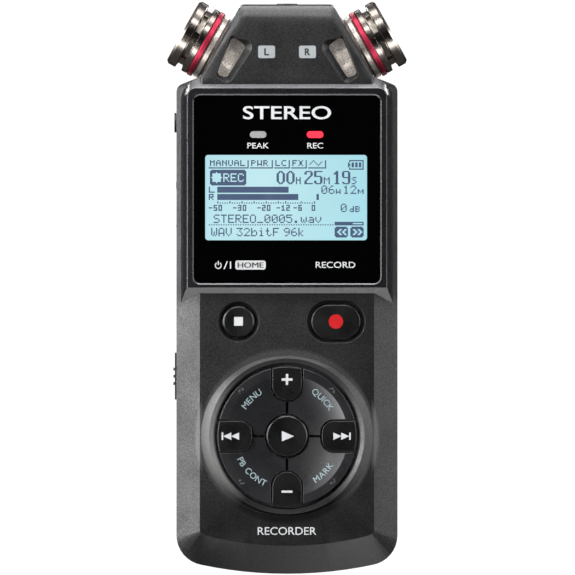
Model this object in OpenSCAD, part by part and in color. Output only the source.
// Handheld stereo voice recorder, standing upright.
// +Z points to the microphones, the front (display and keys) faces -Y,
// +X is the viewer's right. Origin: bottom centre of the whole object's box.

/* [Case] */
// Width across the straight sides of the case
body_width = 55.2; // [54.8:0.1:55.8]
// Height from the lowest point to the flat top of the microphone block
body_height = 142.2; // [142:0.1:143]
// Depth from the display frame to the back
body_depth = 26; // [26:0.1:26.6]
// Drop of the key panel behind the display frame's face
frame_rise = 1.2; // [1:0.05:1.4]
// Depth drop of the wide side chamfers
chamfer_drop = 3.05; // [2.8:0.05:3.1]
// Half width of the flat key panel
panel_half_width = 21.75; // [21.5:0.05:21.9]
// Thickness of the moulded walls
wall = 1.6; // [1.5:0.05:1.7]

/* [Microphones] */
// Tilt of the microphone axes from straight up
mic_tilt = 60.8; // [60:0.1:61.5]
// Distance of the flank centre from the middle plane
mic_x = 17.9; // [17.8:0.05:18]
// Height of the flank centre
mic_z = 131.1; // [131:0.05:131.2]
// Radius of the cap ring
mic_radius = 8.8; // [8.6:0.05:8.9]

/* [Keys] */
// Height of the middle of the key wheel
wheel_z = 34.4; // [34.2:0.1:34.6]
// Outer radius of the wheel keys
wheel_radius = 17.4; // [17.2:0.05:17.5]
// Gap between neighbouring keys
key_gap = 0.45; // [0.4:0.05:0.5]
// How far the key caps stand above the key panel
key_rise = 0.6; // [0.5:0.05:0.7]
// Height of the stop and record keys
upper_key_z = 63; // [62.8:0.1:63.2]

/* [Interfaces] */
// Bore radius of the 3.5 mm sockets
jack_radius = 1.8; // [1.78:0.01:1.85]
// Core radius of the 1/4 inch 20 thread
tripod_radius = 2.55; // [2.5:0.01:2.6]
// Diameter of an AA cell
cell_diameter = 14.5; // [14:0.1:14.5]
// Length of an AA cell
cell_length = 50.5; // [50:0.1:50.5]

/* [Hidden] */
half_width = body_width / 2;
// Depth levels, from front to back
frame_y = -body_depth / 2;
panel_y = frame_y + frame_rise;
chamfer_y = panel_y + chamfer_drop;
back_y = body_depth / 2;
key_top_y = panel_y - key_rise;
key_base_y = -9.4;
port_floor_y = -8;       // inner end of the key openings and stems
board_front_y = -7;
board_back_y = -5.8;
part_y = board_back_y + 0.02; // front of the parts just behind the board
// Where cutters end, clear of the case
clear_front_y = frame_y - 1;
clear_back_y = back_y + 1;
clear_left_x = -30;

// Outline: bowed base, tangent bottom corners, small shoulders, narrower neck
base_radius = 103.6;
corner_radius = 7.5;
corner_x = half_width - corner_radius;
corner_z = base_radius - sqrt((base_radius - corner_radius) * (base_radius - corner_radius)
  - corner_x * corner_x);
base_half_width = corner_x * base_radius / (base_radius - corner_radius);
shoulder_radius = 2;
shoulder_z = 120.42;
neck_x = 21.75;
neck_z = 124.1;

// Display and indicators
window_width = 46.5;
window_height = 46.9;
window_z = 96;
lcd_x = -0.2;
led_xs = [-7.2, 7];
led_z = 109.65;
badge_x = 5.1;
badge_z = 130.3;

// Keys
stop_point = [-12.1, upper_key_z];
record_point = [12.2, upper_key_z];
key_height = key_base_y - key_top_y;
play_radius = 5.15;
arm_reach = 22;          // the wheel's arm keys are drawn out to here, then trimmed

// Sockets and side controls
mic_y = -0.5;
mic_jack_bottom = 128.2;
phones_y = -3.3;
phones_z = 112.7;
usb_y = -4.15;
usb_z = 77;
card_z = 92;
cover_z = 92.3;
hinge_x = half_width - 0.45;
hinge_y = -2.85;
volume_z = 92;
volume_contact_zs = [volume_z - 6, volume_z + 6];
hold_z = 49.35;

// Back
door_half_width = 18;
door_top = 64;
speaker_z = 104;
speaker_radius = 9.4;
tripod_z = 80;
cell_x = 7.6;
cell_y = 3.85;
cell_bottom = 8.6;
tray_bottom = 6.55;
tray_top = 61.45;

// [x, z] of the case screws and the board screws
case_screw_points = [for (z = [14, 62, 118.6], x = [-23, 23]) [x, z]];
board_screw_points = [for (z = [14.5, 70.6], x = [-18.3, 18.3]) [x, z]];

// Stem of the wheel key in a column and row, each -1, 0 or 1
function wheel_stem(column, row) =
  column == 0 ? [0, wheel_z + row * 12.2]
  : row == 0 ? [column * 12.4, wheel_z]
  : [column * 9.6, wheel_z + row * 9.6];
stem_points = concat([for (column = [-1 : 1], row = [-1 : 1]) wheel_stem(column, row)],
  [stop_point, record_point]);

case_color = [0.16, 0.16, 0.17];
key_color = [0.06, 0.06, 0.065];
quarter_key_color = [0.11, 0.11, 0.12];
mic_color = [0.62, 0.58, 0.54];
switch_color = [0.2, 0.2, 0.2];
socket_color = [0.1, 0.1, 0.1];

// ---------- shared shapes ----------
// Extrudes a drawing in X and Z between two depths
module slab(front, back) {
  translate([0, back, 0]) rotate([90, 0, 0]) linear_extrude(back - front) children();
}
// Round slab at an [x, z] point
module disc(point, front, back, radius, sides = 48) {
  slab(front, back) translate(point) circle(radius, $fn = sides);
}
// Solid of revolution drawn as [radius, height], height running towards -Y from y
module front_turned(point, y, sides = 96) {
  translate([point[0], y, point[1]]) rotate([90, 0, 0]) rotate_extrude($fn = sides) children();
}
// Cylinder running towards +X
module side_rod(x, y, z, radius, length, sides = 64) {
  translate([x, y, z]) rotate([0, 90, 0]) cylinder(r = radius, h = length, $fn = sides);
}
// Box from corner x, y, with z at the middle of its height
module side_box(x, y, z, size) {
  translate([x, y, z - size[2] / 2]) cube(size);
}
module rounded_rect(width, height, radius) {
  square([width - 2 * radius, height], center = true);
  square([width, height - 2 * radius], center = true);
  for (sx = [-1, 1], sy = [-1, 1])
    translate([sx * (width / 2 - radius), sy * (height / 2 - radius)]) circle(radius, $fn = 32);
}
module stadium(width, height) {
  square([width - height, height], center = true);
  for (side = [-1, 1]) translate([side * (width - height) / 2, 0]) circle(height / 2, $fn = 64);
}
module cross(length, width) {
  square([length, width], center = true);
  square([width, length], center = true);
}
// Convex outline of points grown by a radius, with exact arcs
module rounded(points, radius) {
  polygon(points);
  for (i = [0 : len(points) - 1]) {
    start = points[i];
    end = points[(i + 1) % len(points)];
    edge = end - start;
    offset_by = [edge[1], -edge[0]] / norm(edge) * radius;
    translate(start) circle(radius, $fn = 32);
    polygon([start, start + offset_by, end + offset_by, end]);
  }
}
// Right-hand points followed by their mirror image, to close an outline
function symmetric(points) = concat(points,
  [for (i = [len(points) - 1 : -1 : 0]) [-points[i][0], points[i][1]]]);
module on_side(side) {
  mirror([side > 0 ? 0 : 1, 0, 0]) children();
}
// Places children on a microphone axis: local +Z leaves the flank
module mic_at(side) {
  on_side(side) translate([mic_x, mic_y, mic_z]) rotate([0, mic_tilt, 0]) children();
}

// ---------- outlines ----------
// Case body; a large inset pulls the shoulder in once its radius is used up
function body_outline(inset = 0) =
  let (bend = shoulder_radius - min(inset, 1.7), pull = max(0, inset - 1.7))
  concat(
    [for (a = [-12 : 2 : 12])
      [(base_radius - inset) * sin(a), base_radius - (base_radius - inset) * cos(a)]],
    symmetric(concat(
      [for (a = [-70 : 10 : 0]) [corner_x + (corner_radius - inset) * cos(a),
                                 corner_z + (corner_radius - inset) * sin(a)]],
      [for (a = [0 : 17 : 68]) [half_width - shoulder_radius + bend * cos(a) - pull,
                                shoulder_z + bend * sin(a) - pull]],
      [[neck_x - inset * 0.8, neck_z - inset]])));
// Microphone block; drop lowers its top
function neck_outline(inset = 0, drop = 0) = symmetric(concat(
  [[neck_x - inset, 116], [neck_x - inset, neck_z - inset * 0.5]],
  [for (a = [30 : 15 : 90]) [10.67 - inset + 2 * cos(a), body_height - 2 - drop + 2 * sin(a)]]));
// Display block, from its bottom edge to elliptic upper corners
function bezel_outline(bottom, x, z, radius_x, radius_z) = symmetric(concat(
  [[x + radius_x, bottom]],
  [for (a = [0 : 15 : 90]) [x + radius_x * cos(a), z + radius_z * sin(a)]]));
// Flat of the key panel
module panel2d() {
  polygon(concat([for (a = [-14 : 2 : 14]) [81.4 * sin(a), 88.4 - 81.4 * cos(a)]],
    symmetric([[21.3, 9.9], [21.62, 10.3], [panel_half_width, 11], [panel_half_width, 122]])));
}
// Inside of the case body, one wall in from its outline and cut off below the neck
module cavity2d() {
  difference() {
    union() {
      intersection() {
        translate([0, base_radius]) circle(base_radius - wall, $fn = 360);
        translate([-base_half_width, 0]) square([2 * base_half_width, 60]);
      }
      for (side = [-1, 1])
        translate([side * corner_x, corner_z]) circle(corner_radius - wall, $fn = 64);
      translate([-half_width + wall, corner_z]) square([2 * (half_width - wall), 110.9]);
      polygon(symmetric([[half_width - wall, 115], [half_width - wall, 120.4],
        [half_width - 1.28 - wall, 122.3 - wall], [neck_x - wall * 0.8, neck_z - wall]]));
      for (side = [-1, 1]) translate([side * (half_width - shoulder_radius), shoulder_z])
        circle(shoulder_radius - wall, $fn = 48);
    }
    translate([-40, 121.6]) square([80, 9]);
  }
}
module neck_cavity2d(top) {
  polygon(symmetric([[19.6, 120.4], [19.6, 123.6], [10.3, top]]));
}
// Opening behind the display glass
module lcd_well2d() {
  translate([-21.9, 74]) square([43.8, 44.5]);
}
module window2d(grow, radius) {
  translate([0, window_z]) rounded_rect(window_width + grow, window_height + grow, radius);
}
// Raised display block; grow enlarges it for its seat in the case
module bezel_block(grow = 0) {
  hull() {
    for (step = [0, 0.2]) slab(frame_y + step, frame_y + 0.1 + step)
      polygon(bezel_outline(71.45 - step - grow, 22.8, 119.25, 2 + step + grow, 2 + step + grow));
    slab(panel_y + 2.4, panel_y + 2.5)
      polygon(bezel_outline(67.65 - grow, 20.9, 118.3, 5.5 + grow, 5.6 + grow));
  }
}

// ---------- case ----------
module front_outer() {
  hull() {
    slab(chamfer_y, 0) polygon(body_outline());
    slab(panel_y, panel_y + 0.05) intersection() {
      panel2d();
      translate([-40, 0]) square([80, 123.3]);
    }
  }
  // microphone block with a rounded front edge
  hull() {
    for (a = [0 : 22.5 : 90]) slab(panel_y + 3 * (1 - sin(a)), panel_y + 3.05 - 2.9 * sin(a))
      polygon(neck_outline(0.6 * (1 - cos(a)), 5 * (1 - cos(a))));
    slab(-0.5, 0) polygon(neck_outline());
  }
}
// Raised ring round the key wheel, wider at its sides
module wheel_ring() {
  hull() {
    slab(panel_y - 0.02, panel_y + 0.3)
      translate([0, wheel_z]) scale([21.4, 20]) circle(1, $fn = 120);
    disc([0, wheel_z], panel_y - 0.75, panel_y - 0.68, 19.45, 120);
  }
}
module key_ports() {
  rim = port_floor_y - panel_y; // height of the key panel above the port floor
  // stop key opening with a coned rim
  front_turned(stop_point, port_floor_y) polygon([[0, 0], [4.3, 0], [4.3, rim - 0.75],
    [5.15, rim + 0.01], [5.15, 6], [0, 6]]);
  // record key opening with a coned rim
  slab(clear_front_y, port_floor_y) translate(record_point) stadium(12.75, 8.9);
  hull() {
    slab(panel_y - 0.1, panel_y) translate(record_point) stadium(14.7, 10.8);
    slab(panel_y + 0.7, panel_y + 0.8) translate(record_point) stadium(12.6, 8.8);
  }
  // key wheel opening, lip and scoop
  front_turned([0, wheel_z], port_floor_y, 180) polygon([[0, 0], [17.95, 0], [17.95, rim - 0.5],
    [18.35, rim + 0.25], [19.38, rim + 0.76], [19.38, 6], [0, 6]]);
}
// Acoustic window beside a microphone: wide mouth, sloping to a narrower opening
module mic_slot(side) {
  // corner circles of the mouth: x, z, radius
  mouth = [[13.4, 133.55, 0.9], [16.85, 124.6, 0.9], [15.0, 124.2, 1.55], [10.75, 131.45, 2.0]];
  // corners of the opening: x, z
  throat = [[11.5, 131.5], [15.5, 125.05], [16.25, 125.35], [13.2, 132.7]];
  on_side(side) {
    hull() {
      slab(panel_y - 0.3, panel_y)
        for (p = mouth) translate([p[0], p[1]]) circle(p[2], $fn = 32);
      slab(panel_y + 1.3, panel_y + 1.5) for (p = throat) translate(p) circle(1, $fn = 32);
    }
    slab(panel_y + 1.2, -9) rounded(throat, 1);
  }
}
// Microphone bores and top socket hole, shared by both case halves
module top_openings() {
  for (side = [-1, 1]) mic_at(side) translate([0, 0, -8]) cylinder(r = 7.5, h = 16, $fn = 96);
  translate([0, 0, 130]) cylinder(r = 2.75, h = 20, $fn = 64);
}
module side_openings() {
  // left side: phones, volume, hold recess and hold slot
  side_rod(clear_left_x, phones_y, phones_z, 2.5, 6);
  side_box(clear_left_x, -5.6, volume_z, [8, 4, 17]);
  side_box(-half_width - 0.01, -6.4, hold_z + 1.05, [0.9, 5.8, 14.4]);
  side_box(clear_left_x, -4.9, hold_z + 1, [8, 2.8, 5.9]);
  // right side: USB, card cover recess, card slot and hinge pockets
  translate([22, usb_y, usb_z]) rotate([0, 90, 0]) linear_extrude(8) rounded_rect(9.2, 3.4, 1.6);
  side_box(half_width - 1.3, -6.85, cover_z, [3, 4.5, 16.9]);
  side_box(22, -5.7, card_z + 0.1, [8, 1.7, 11.8]);
  hinge_rod(0.34, 19.4);
}
module front_shell() {
  difference() {
    union() {
      front_outer();
      wheel_ring();
    }
    // deep cavity behind the walls
    slab(chamfer_y + 0.75, 1) cavity2d();
    // shallow cavity behind the panel, crossed by a bar
    slab(panel_y + wall, chamfer_y + 0.8) difference() {
      translate([-panel_half_width + 1, 9.5]) square([2 * panel_half_width - 2, 111]);
      translate([-40, 66.6]) square([80, 5.5]);
    }
    slab(panel_y + wall, 1) neck_cavity2d(140.6);
  }
}
module front_case() color(case_color) difference() {
  union() {
    front_shell();
    // ledge under the display block
    slab(panel_y + 2.25, chamfer_y + 0.8) difference() {
      translate([-26, 66.6]) square([52, 55.6]);
      lcd_well2d();
    }
    // screw towers and board posts
    for (p = case_screw_points) disc(p, chamfer_y, 0, 2.4);
    for (p = board_screw_points) disc(p, panel_y + 1, board_front_y, 1.9);
  }
  bezel_block(0.05);
  slab(clear_front_y, -6) lcd_well2d();
  key_ports();
  for (side = [-1, 1]) {
    mic_slot(side);
    slab(clear_front_y, panel_y + 0.5)
      translate([side * badge_x, badge_z]) rounded_rect(4.3, 3.2, 0.5);
  }
  for (p = case_screw_points) disc(p, -7, 1, 1.05, 32);
  for (p = board_screw_points) disc(p, -9.9, -6, 0.85, 32);
  side_openings();
  top_openings();
}
// Rear half with rounded back edges
module rear_outer() {
  round_depth = 3.2;
  hull() {
    slab(0, back_y - round_depth) polygon(body_outline());
    for (a = [30 : 30 : 90])
      slab(back_y - 0.1 - round_depth * (1 - sin(a)), back_y - round_depth * (1 - sin(a)))
        polygon(body_outline(2.6 * (1 - cos(a))));
  }
  hull() {
    slab(0, back_y - 1 - round_depth) polygon(neck_outline());
    for (a = [30 : 30 : 90])
      slab(back_y - 1.1 - round_depth * (1 - sin(a)), back_y - 1 - round_depth * (1 - sin(a)))
        polygon(neck_outline(2.4 * (1 - cos(a)), 3 * (1 - cos(a))));
  }
}
grille_pitch = 2.2;
grille_points = [for (i = [-3 : 3], j = [-3 : 3]) if (i * i + j * j < 11)
  [i * grille_pitch, speaker_z + j * grille_pitch]];
module rear_shell() {
  difference() {
    rear_outer();
    slab(-1, back_y - 3.4) cavity2d();
    slab(back_y - 3.5, back_y - wall) translate([-22.5, 5]) square([45, 114]);
    slab(-1, back_y - 1 - wall) neck_cavity2d(140.2);
  }
}
module battery_tray() {
  difference() {
    slab(-4.3, back_y - 2.4) translate([-16.2, 5.3]) square([32.4, 57.7]);
    slab(-3.5, clear_back_y) translate([-15.2, 6.5]) square([30.4, 55]);
  }
}
module rear_case() color(case_color) difference() {
  union() {
    rear_shell();
    battery_tray();
    // rails under the door's tongues
    for (side = [-1, 1]) slab(back_y - 3.4, back_y - 1.5)
      translate([side * 18.55 - 2.45, 2.6]) square([4.9, door_top + 1]);
    // screw towers
    for (p = case_screw_points) disc(p, 0.05, back_y - 1, 3.1);
    // seat for the tripod bush
    disc([0, tripod_z], 4.5, back_y - 0.5, 6.6, 64);
    // ring wall round the speaker
    slab(back_y - 4.8, back_y - 1) difference() {
      translate([0, speaker_z]) circle(10.6, $fn = 96);
      translate([0, speaker_z]) circle(9.6, $fn = 96);
    }
  }
  // opening for the door, open at the bottom, with undercut grooves
  slab(back_y - wall - 0.1, clear_back_y) translate([-door_half_width - 0.15, -1])
    square([2 * door_half_width + 0.3, door_top + 1.15]);
  slab(back_y - 2.4, back_y - wall + 0.05) translate([-door_half_width - 1.4, -1])
    square([2 * door_half_width + 2.8, door_top + 1.6]);
  for (p = case_screw_points) {
    disc(p, -1, clear_back_y, 1.15, 32);
    disc(p, back_y - 2.4, clear_back_y, 2.15);
  }
  disc([0, tripod_z], 3, clear_back_y, 4.55, 64);
  for (p = grille_points) disc(p, back_y - 3, clear_back_y, 0.65, 24);
  top_openings();
}

// ---------- display ----------
module display_bezel() color([0.13, 0.13, 0.14]) difference() {
  bezel_block();
  slab(clear_front_y, frame_y + 1.3) window2d(0, 1.6);
  // chamfer round the window
  hull() {
    slab(frame_y - 0.1, frame_y) window2d(0.6, 1.9);
    slab(frame_y + 0.2, frame_y + 0.3) window2d(0, 1.6);
  }
  slab(clear_front_y, 0) lcd_well2d();
}
module display_window() color([0.02, 0.02, 0.02]) difference() {
  slab(frame_y + 0.25, frame_y + 1.25) window2d(-0.1, 1.55);
  // light pipe holes
  slab(clear_front_y, frame_y + 3)
    for (x = led_xs) translate([x, led_z]) stadium(4.16, 1.72);
}
module lcd_panel() color([0.72, 0.9, 0.93])
  slab(-11.5, -9.9) translate([lcd_x, 93.9]) rounded_rect(42.6, 26.8, 0.4);
module lcd_backlight() color([0.85, 0.86, 0.86]) difference() {
  slab(-9.85, -7.05) translate([lcd_x, 93.8]) rounded_rect(43.2, 29, 0.6);
  slab(-8.6, -6) translate([lcd_x, 93.8]) square([39, 25], center = true);
}
// Flanged light pipe with a small bore in its inner end
module led_pipe(x) {
  difference() {
    union() {
      slab(frame_y + 0.25, -7.85) translate([x, led_z]) stadium(4.1, 1.66);
      slab(-11.6, -10.8) translate([x, led_z]) stadium(5, 2.3);
    }
    disc([x, led_z], -8.1, -7, 0.5, 24);
  }
}
module peak_indicator() color([0.75, 0.75, 0.76]) led_pipe(led_xs[0]);
module record_indicator() color([0.95, 0.2, 0.3]) led_pipe(led_xs[1]);
module channel_badges() color([0.75, 0.76, 0.77]) for (side = [-1, 1])
  slab(panel_y - 0.03, panel_y + 0.5)
    translate([side * badge_x, badge_z]) rounded_rect(4.2, 3.1, 0.5);

// ---------- electronics ----------
module main_board() color([0.1, 0.35, 0.2]) difference() {
  slab(board_front_y, board_back_y) translate([-20.2, 11.5]) square([40.4, 107.5]);
  for (p = board_screw_points) disc(p, -8, -5, 0.95, 32);
}
module processor_shield() color("silver") difference() {
  slab(board_back_y, -3.2) translate([-4, 94]) rounded_rect(22, 20, 0.8);
  slab(board_back_y - 0.1, -3.6) translate([-4, 94]) rounded_rect(21.4, 19.4, 0.5);
}
// Chips behind the board: centre x, centre z, width, height
chips = [
  [-12, 73, 7, 7], [3, 72.5, 9, 9], [14, 110.5, 5, 7],
  [-2, 112, 8, 5], [17.7, 25, 2.4, 5], [-17.9, 40, 2.6, 5]];
module board_chips() color([0.12, 0.12, 0.13]) {
  for (chip = chips) slab(board_back_y, -4.9)
    translate([chip[0], chip[1]]) square([chip[2], chip[3]], center = true);
  // LEDs behind the light pipes
  for (x = led_xs)
    slab(-7.7, board_front_y) translate([x, led_z]) square([1.6, 0.9], center = true);
}
module dome_switches() color("silver") for (p = stem_points)
  front_turned(p, board_front_y, 48)
    polygon([[0, 0], [2.2, 0], [2.2, 0.08], [1.7, 0.3], [0.9, 0.48], [0, 0.5]]);
module key_membrane() color([0.3, 0.3, 0.32]) difference() {
  slab(-8.9, -8.4) translate([0, 39.5]) rounded_rect(40.6, 53, 2);
  for (p = stem_points) disc(p, -10, -7, 1.5, 32);
  // clearance for the two lower board posts
  for (i = [0, 1]) disc(board_screw_points[i], -10, -7, 2.1, 32);
}

// ---------- keys ----------
module stem(point) {
  disc(point, key_base_y - 0.1, port_floor_y, 1.2, 32);
}
// Plan of the plus (side = 1) and minus (side = -1) keys, round towards the centre
module upright_arm2d(grow, side) {
  offset_z = 12.55;
  radius = 3.6;
  translate([0, wheel_z]) {
    translate([0, side * offset_z]) circle(radius + grow, $fn = 96);
    translate([-radius - grow, side > 0 ? offset_z : -arm_reach])
      square([2 * (radius + grow), arm_reach - offset_z]);
  }
}
// Plan of the next (side = 1) and previous (side = -1) keys
module sideways_arm2d(grow, side) {
  offset_x = 11.75;
  radius = 3;
  flat = 0.75; // half length of the straight inner edge
  translate([0, wheel_z]) {
    for (end = [-1, 1]) translate([side * offset_x, end * flat]) circle(radius + grow, $fn = 96);
    translate([side > 0 ? offset_x - radius - grow : -offset_x, -flat])
      square([radius + grow, 2 * flat]);
    translate([side > 0 ? offset_x : -arm_reach, -flat - radius - grow])
      square([arm_reach - offset_x, 2 * (flat + radius + grow)]);
  }
}
// Disc that trims the wheel keys, with a bevelled rim
module wheel_disc(top_y) {
  height = key_base_y - top_y;
  front_turned([0, wheel_z], key_base_y, 240) polygon([[0, 0], [wheel_radius, 0],
    [wheel_radius, height - 0.2], [wheel_radius - 0.2, height], [0, height]]);
}
// Trims the plan in its children to the wheel's rim
module arm_key(column, row) {
  intersection() {
    slab(key_top_y, key_base_y) children();
    wheel_disc(key_top_y);
  }
  stem(wheel_stem(column, row));
}
// Quarter key: flat rim, dished inside, with a pair of tiny raised ticks
module quarter_key(column, row) {
  top_y = key_top_y + 0.1;
  dish_radius = 15.1;
  dish_depth = 0.9;
  ball_radius = (dish_radius * dish_radius + dish_depth * dish_depth) / (2 * dish_depth);
  size = 20;
  half_gap = key_gap / 2;
  difference() {
    intersection() {
      wheel_disc(top_y);
      slab(top_y, key_base_y) translate([0, wheel_z])
        translate([column > 0 ? half_gap : -size, row > 0 ? half_gap : -size])
          square(size - half_gap);
    }
    slab(clear_front_y, -9) {
      translate([0, wheel_z]) circle(play_radius + key_gap, $fn = 96);
      upright_arm2d(key_gap, row);
      sideways_arm2d(key_gap, column);
    }
    translate([0, top_y - ball_radius + dish_depth, wheel_z]) sphere(ball_radius, $fn = 200);
  }
  translate([0, top_y, wheel_z]) rotate([0, -45 * column * row + (column < 0 ? 180 : 0), 0])
    for (z = [-0.45, 0.45])
      translate([16.35, -0.12, z]) rotate([-90, 0, 0]) cylinder(r = 0.16, h = 0.3, $fn = 24);
  stem(wheel_stem(column, row));
}
module stop_key() color(key_color) {
  front_turned(stop_point, key_base_y) polygon([[0, 0], [3.975, 0], [3.975, key_height - 0.35],
    [3.62, key_height], [0, key_height - 0.1]]);
  stem(stop_point);
}
module record_key() color(key_color) {
  slab(key_top_y, key_base_y) translate(record_point) stadium(12.15, 8.3);
  stem(record_point);
}
module play_key() color(key_color) {
  front_turned([0, wheel_z], key_base_y) polygon([[0, 0], [play_radius, 0],
    [play_radius, key_height - 0.3], [play_radius - 0.3, key_height], [0, key_height - 0.12]]);
  stem(wheel_stem(0, 0));
}
module plus_key() color(key_color) arm_key(0, 1) upright_arm2d(0, 1);
module minus_key() color(key_color) arm_key(0, -1) upright_arm2d(0, -1);
module previous_key() color(key_color) arm_key(-1, 0) sideways_arm2d(0, -1);
module next_key() color(key_color) arm_key(1, 0) sideways_arm2d(0, 1);
module menu_key() color(quarter_key_color) quarter_key(-1, 1);
module quick_key() color(quarter_key_color) quarter_key(1, 1);
module playback_key() color(quarter_key_color) quarter_key(-1, -1);
module mark_key() color(quarter_key_color) quarter_key(1, -1);

// ---------- microphones ----------
// Turned about the microphone axis from [radius, distance out of the flank] points
module mic_turned(profile) {
  rotate_extrude($fn = 128) polygon(profile);
}
module mic_barrel() color(mic_color) mic_turned([
  [0, -6.5], [6.4, -6.5], [7.1, -6.2], [7.4, -5.5], [7.4, 0.12], [8.0, 0.12], [8.5, 0.6],
  [8.5, 1.65], [8.3, 1.9], [7.6, 1.9], [7.6, 4.6], [6.2, 4.6], [6.2, -5.4], [0, -5.4]]);
module mic_accent_ring() color([0.8, 0.12, 0.2]) mic_turned([
  [7.65, 2.0], [8.7, 2.0], [8.9, 2.2], [8.9, 3.2], [8.7, 3.4], [7.65, 3.4]]);
module mic_cage() color(mic_color) difference() {
  mic_turned([
    [7.65, 3.45], [8.6, 3.45], [8.77, 3.62], [8.77, 4.8], [8.55, 5.0], [7.9, 5.0],
    [7.9, 6.65], [8.6, 6.65], [mic_radius, 6.85], [mic_radius, 8.6], [8.2, 9.25],
    [7.0, 9.25], [6.5, 8.7], [6.5, 8.55], [6.9, 8.55], [6.9, 4.75], [7.65, 4.75]]);
  // six windows round the side
  for (i = [0 : 5]) rotate(i * 60) translate([5.8, -2.7, 5.15]) cube([3, 5.4, 1.35]);
}
module mic_screen() color([0.35, 0.34, 0.33]) mic_turned([
  [6.55, 4.8], [6.85, 4.8], [6.85, 8.5], [0, 8.5], [0, 8.2], [6.55, 8.2]]);
module mic_capsule() color([0.5, 0.48, 0.46]) difference() {
  mic_turned([[0, 1.5], [4.9, 1.5], [4.9, 7.3], [4.6, 7.6], [0, 7.6]]);
  for (i = [0 : 5]) rotate(i * 60) translate([2.6, 0, 7]) cylinder(r = 0.5, h = 2, $fn = 24);
}
module mic_sleeve() color([0.08, 0.08, 0.08])
  mic_turned([[4.93, 1.8], [6.15, 1.8], [6.15, 4.4], [4.93, 4.4]]);
module mic_barrel_left() mic_at(-1) mic_barrel();
module mic_barrel_right() mic_at(1) mic_barrel();
module mic_accent_ring_left() mic_at(-1) mic_accent_ring();
module mic_accent_ring_right() mic_at(1) mic_accent_ring();
module mic_cage_left() mic_at(-1) mic_cage();
module mic_cage_right() mic_at(1) mic_cage();
module mic_screen_left() mic_at(-1) mic_screen();
module mic_screen_right() mic_at(1) mic_screen();
module mic_capsule_left() mic_at(-1) mic_capsule();
module mic_capsule_right() mic_at(1) mic_capsule();
module mic_sleeve_left() mic_at(-1) mic_sleeve();
module mic_sleeve_right() mic_at(1) mic_sleeve();

// ---------- sockets and side controls ----------
module external_mic_jack() color(socket_color) difference() {
  translate([0, 0, mic_jack_bottom]) {
    cylinder(r = 3.4, h = 12, $fn = 64);
    cylinder(r = 2.62, h = body_height + 0.3 - mic_jack_bottom, $fn = 64);
  }
  translate([0, 0, mic_jack_bottom + 1]) cylinder(r = jack_radius, h = 20, $fn = 64);
}
module phones_jack() color(socket_color) difference() {
  union() {
    side_rod(-half_width - 0.55, phones_y, phones_z, 2.44, 4);
    side_box(-25.8, part_y, phones_z, [10.8, 4.98, 5.8]);
  }
  side_rod(-half_width - 2, phones_y, phones_z, jack_radius, 13.6);
}
module usb_port() color("silver") {
  difference() {
    translate([17.6, usb_y, usb_z]) rotate([0, 90, 0])
      linear_extrude(9.7) rounded_rect(8.94, 3.24, 1.5);
    translate([18.2, usb_y, usb_z]) rotate([0, 90, 0])
      linear_extrude(12) rounded_rect(8.34, 2.64, 1.25);
  }
  // contact tongue
  side_box(18.1, -4.5, usb_z, [8, 0.7, 6.7]);
}
module card_socket() color("silver") difference() {
  side_box(8, part_y, card_z, [15, 1.9, 13]);
  side_box(9, -5.4, card_z, [20, 1.25, 11.4]);
}
module memory_card() color([0.08, 0.08, 0.09]) translate([10.2, -5.2, card_z - 5.5]) difference() {
  cube([15, 0.8, 11]);
  translate([2.2, -1, -1]) cube([4, 3, 1.7]);
}
module hinge_rod(radius, length) {
  translate([hinge_x, hinge_y, cover_z - length / 2]) cylinder(r = radius, h = length, $fn = 32);
}
module card_cover() color([0.13, 0.13, 0.14]) {
  difference() {
    side_box(half_width - 1.2, -6.7, cover_z, [1.15, 3.85, 16.6]);
    // finger notch along the free edge
    side_box(half_width - 0.5, -6.9, cover_z, [1, 0.6, 4.6]);
  }
  hinge_rod(0.4, 16.6);
  hinge_rod(0.3, 19);
}
module volume_rocker() color([0.09, 0.09, 0.1]) {
  mark_x = -half_width - 0.12;
  mark_offset = 5.1;
  side_box(-half_width, -5.4, volume_z, [1.6, 3.6, 16.4]);
  // pivot web and pin
  side_box(-26.01, -5.1, volume_z, [0.6, 3.0, 1.0]);
  translate([-25.5, -1.1, volume_z]) rotate([90, 0, 0]) cylinder(r = 0.45, h = 5, $fn = 32);
  for (z = volume_contact_zs) side_box(-26.01, -4.2, z, [1.1, 1.2, 1.6]);
  // plus and minus marks to feel
  for (side = [1, -1]) side_box(mark_x, -4.5, volume_z + side * mark_offset, [0.2, 1.8, 0.4]);
  side_box(mark_x, -3.8, volume_z + mark_offset, [0.2, 0.4, 1.8]);
}
module volume_switch() color(switch_color) {
  side_box(-23.6, part_y, volume_z, [4.4, 4, 16]);
  for (z = volume_contact_zs) side_rod(-24.5, -3.6, z, 0.7, 1, 32);
}
module hold_slider() color([0.1, 0.1, 0.11]) {
  side_box(-half_width - 0.43, -6.2, hold_z, [1.25, 5.3, 11.7]);
  // grip ribs
  for (z = [47.5, 49.3, 51.1]) side_box(-half_width - 0.8, -5.9, z, [0.5, 4.7, 0.7]);
  // arm to the switch and its flange
  side_box(-26.9, -4.7, hold_z, [3.3, 2.4, 2.7]);
  side_box(-25.75, -5.4, hold_z, [0.5, 3.8, 5.7]);
}
module hold_switch() color(switch_color) translate([-23.4, part_y, 43.5]) difference() {
  cube([4.2, 3.4, 11.5]);
  translate([-0.1, 0.9, 3.4]) cube([1.2, 2.0, 5.6]);
}

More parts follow.
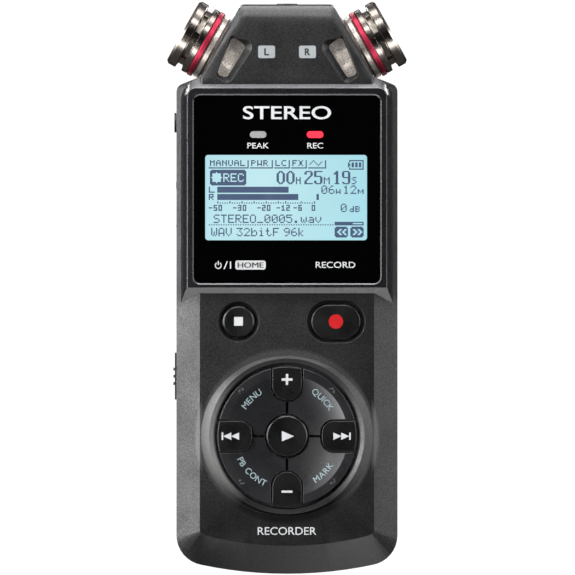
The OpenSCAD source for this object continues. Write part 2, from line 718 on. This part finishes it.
// ---------- back ----------
module speaker() color([0.3, 0.3, 0.32]) front_turned([0, speaker_z], back_y - 2)
  polygon([[0, 0.3], [5, 0.3], [6, -0.05], [8.2, 0.0], [speaker_radius, 0.0],
    [speaker_radius, 1.2], [7.4, 1.6], [7.4, 3], [0, 3]]);
module speaker_felt() color([0.05, 0.05, 0.05])
  disc([0, speaker_z], back_y - 1.95, back_y - 1.65, speaker_radius, 96);
module tripod_bush() color([0.75, 0.6, 0.3]) difference() {
  disc([0, tripod_z], 4.6, back_y - 0.05, 4.5, 64);
  disc([0, tripod_z], 5.9, clear_back_y, tripod_radius, 64);
}
module battery_door() color([0.15, 0.15, 0.16]) difference() {
  union() {
    intersection() {
      rear_outer();
      slab(back_y - wall, clear_back_y)
        translate([-door_half_width, -1]) square([2 * door_half_width, door_top + 1]);
    }
    // side tongues
    for (side = [-1, 1]) slab(back_y - 2.3, back_y - wall + 0.01)
      translate([side * 17.6 - 1.6, 4]) square([3.2, door_top - 4.2]);
  }
  // grip grooves, shorter towards the top
  for (i = [0 : 4])
    slab(back_y - 0.45, clear_back_y) translate([0, 50 + i * 1.8]) stadium(14 - i * 1.6, 0.8);
}
// One copy per cell column: standing on low on the upright side, hung from high on the other
module per_cell(upright_side, low, high) {
  for (side = [-1, 1])
    translate([side * cell_x, cell_y, side == upright_side ? low : high])
      mirror([0, 0, side == upright_side ? 0 : 1]) children();
}
module battery_cells() color([0.7, 0.5, 0.25])
  per_cell(1, cell_bottom, cell_bottom + cell_length) rotate_extrude($fn = 96) polygon([
    [0, 0], [cell_diameter / 2 - 0.6, 0], [cell_diameter / 2, 0.5],
    [cell_diameter / 2, cell_length - 2.1], [cell_diameter / 2 - 0.7, cell_length - 1.5],
    [2.7, cell_length - 1.5], [2.7, cell_length - 0.2], [2.4, cell_length], [0, cell_length]]);
module battery_springs() color("silver")
  per_cell(1, tray_bottom, tray_top) rotate_extrude($fn = 64) polygon([
    [0, 0], [5.6, 0], [5.6, 0.3], [3.0, 1.15], [2.4, 1.95], [0, 1.95],
    [0, 1.6], [2.0, 1.6], [2.6, 0.9], [4.6, 0.3], [0, 0.3]]);
module battery_contacts() color("silver") per_cell(-1, tray_bottom, tray_top) {
  translate([-5, -4, 0]) cube([10, 8, 0.4]);
  cylinder(r = 2.2, h = 2.0, $fn = 48);
}
module case_screws() color(switch_color) for (p = case_screw_points) difference() {
  union() {
    disc(p, back_y - 2.35, back_y - 0.9, 2.0);
    disc(p, -6.4, back_y - 2.3, 1.0, 32);
  }
  slab(back_y - 1.7, back_y) translate(p) cross(2.4, 0.5);
}
module board_screws() color("silver") for (p = board_screw_points) difference() {
  union() {
    disc(p, board_back_y, -4.8, 1.5);
    disc(p, -9.2, board_back_y + 0.05, 0.8, 32);
  }
  slab(-5.3, -4) translate(p) cross(1.8, 0.4);
}

front_case();
rear_case();
display_bezel();
display_window();
lcd_panel();
lcd_backlight();
peak_indicator();
record_indicator();
channel_badges();
main_board();
processor_shield();
board_chips();
dome_switches();
key_membrane();
stop_key();
record_key();
play_key();
plus_key();
minus_key();
previous_key();
next_key();
menu_key();
quick_key();
playback_key();
mark_key();
mic_barrel_left();
mic_barrel_right();
mic_accent_ring_left();
mic_accent_ring_right();
mic_cage_left();
mic_cage_right();
mic_screen_left();
mic_screen_right();
mic_capsule_left();
mic_capsule_right();
mic_sleeve_left();
mic_sleeve_right();
external_mic_jack();
phones_jack();
usb_port();
card_socket();
memory_card();
card_cover();
volume_rocker();
volume_switch();
hold_slider();
hold_switch();
speaker();
speaker_felt();
tripod_bush();
battery_door();
battery_cells();
battery_springs();
battery_contacts();
case_screws();
board_screws();
